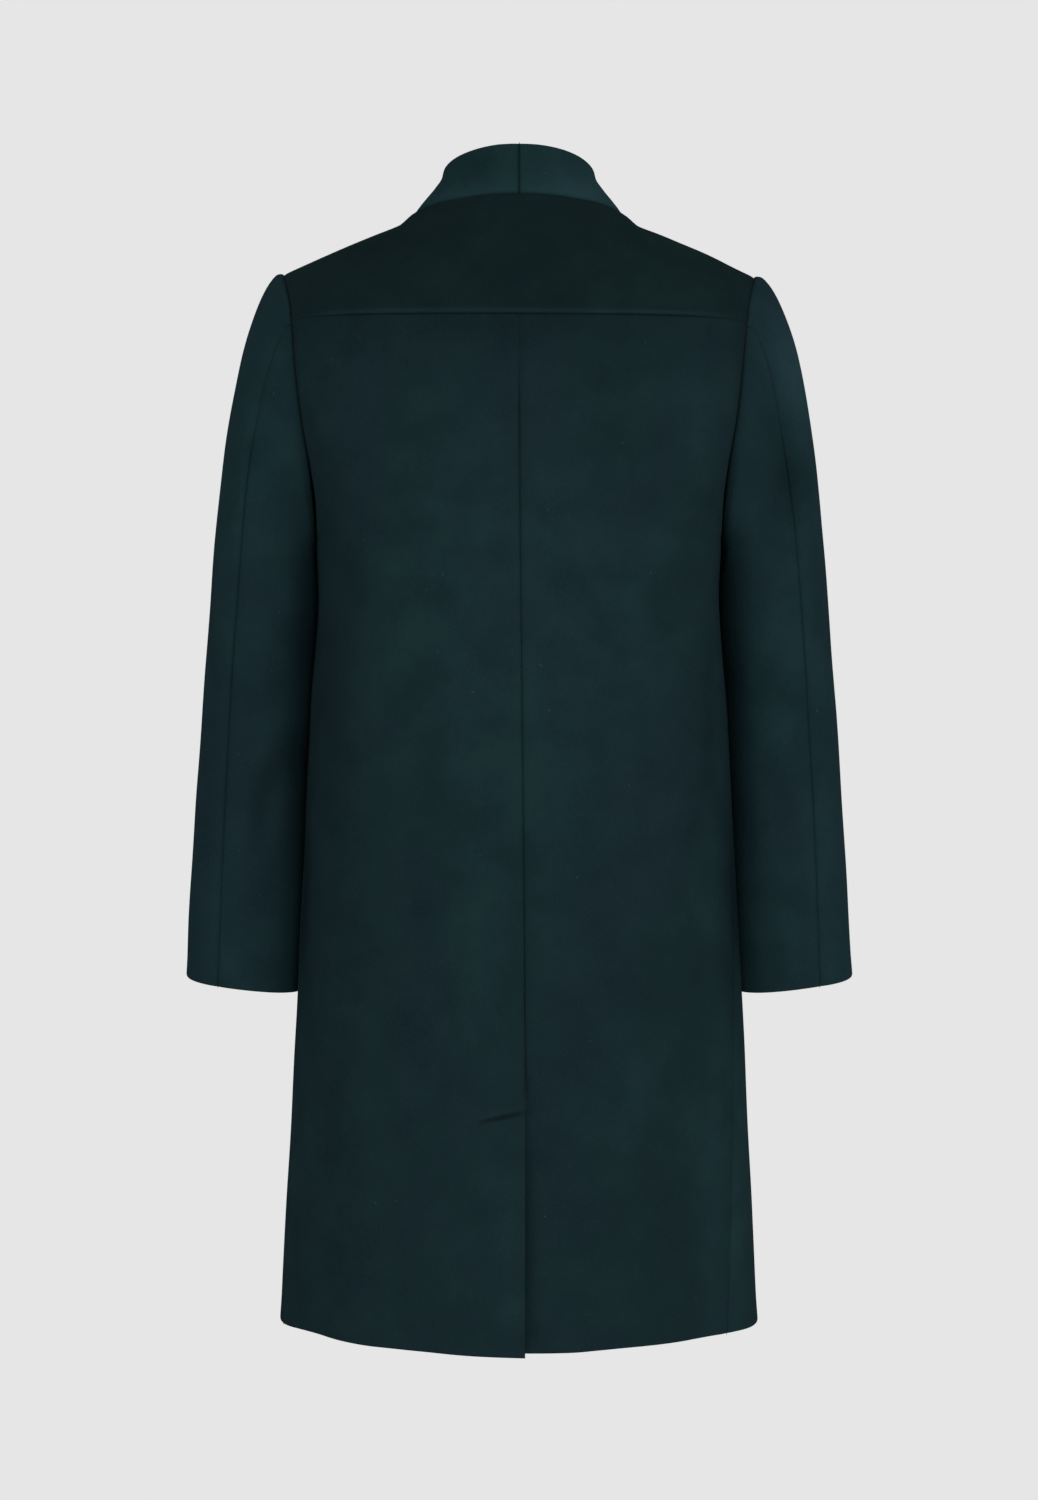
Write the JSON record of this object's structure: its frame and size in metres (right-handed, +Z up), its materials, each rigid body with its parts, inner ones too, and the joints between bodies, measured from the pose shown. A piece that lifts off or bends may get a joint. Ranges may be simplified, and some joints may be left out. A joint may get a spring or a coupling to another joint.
{
  "type": "long coat",
  "caption": "Long single-layer wool coat in its worn form, hollow, with a standing collar, a back yoke, two-piece sleeves hanging at the sides and a lapped back vent.",
  "frame": {"origin": "midway between the two points where the shoulder seams meet the neckline, where the wearer's shoulders hold the coat up", "axes": "+Z up, the wearer faces -Y, +X towards the wearer's left"},
  "size_m": [0.587, 0.2959, 1.0105],
  "materials": {
    "body_wool": "matt brushed melton wool",
    "yoke_wool": "matt brushed melton wool",
    "collar_wool": "matt brushed melton wool",
    "sleeve_wool": "matt brushed melton wool"
  },
  "bodies": {
    "root": {"back_left": "body_wool", "back_right": "body_wool", "front_left": "body_wool", "front_right": "body_wool", "yoke": "yoke_wool", "collar_left": "collar_wool", "collar_right": "collar_wool", "sleeve_left_top": "sleeve_wool", "sleeve_left_under": "sleeve_wool", "sleeve_right_top": "sleeve_wool", "sleeve_right_under": "sleeve_wool"}
  },
  "joints": []
}
